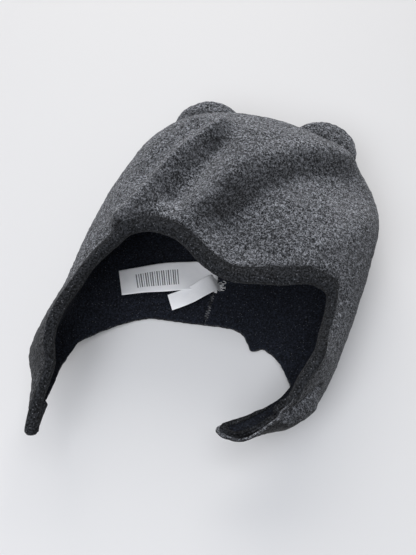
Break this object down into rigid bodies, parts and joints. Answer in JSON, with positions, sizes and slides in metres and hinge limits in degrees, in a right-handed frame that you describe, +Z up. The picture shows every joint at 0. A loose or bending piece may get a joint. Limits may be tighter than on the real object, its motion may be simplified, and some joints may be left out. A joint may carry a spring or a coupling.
{
  "type": "baby hat with ears",
  "caption": "Lined fleece baby hat with round ears and long ear flaps that taper into chin straps, lying on its back with the face opening up.",
  "frame": {"origin": "middle of the hat's bounding box, on the surface it lies on", "axes": "+Y from the nape toward the crown, +Z up from the surface toward the face opening, +X to the right seen from above (the wearer's left)"},
  "size_m": [0.2131, 0.2844, 0.0901],
  "materials": {
    "heather_fleece": "matt napped fleece, charcoal heather",
    "black_lining": "matt short-napped fleece, black",
    "black_band": "matt fleece folded over the edge, black",
    "white_satin": "smooth woven satin ribbon, white"
  },
  "bodies": {
    "root": {"front_panel": "heather_fleece", "back_panel": "heather_fleece", "ear_left": "heather_fleece", "ear_right": "heather_fleece", "lining_left": "black_lining", "lining_right": "black_lining", "front_band": "black_band", "care_label": "white_satin", "size_label": "white_satin"}
  },
  "joints": []
}
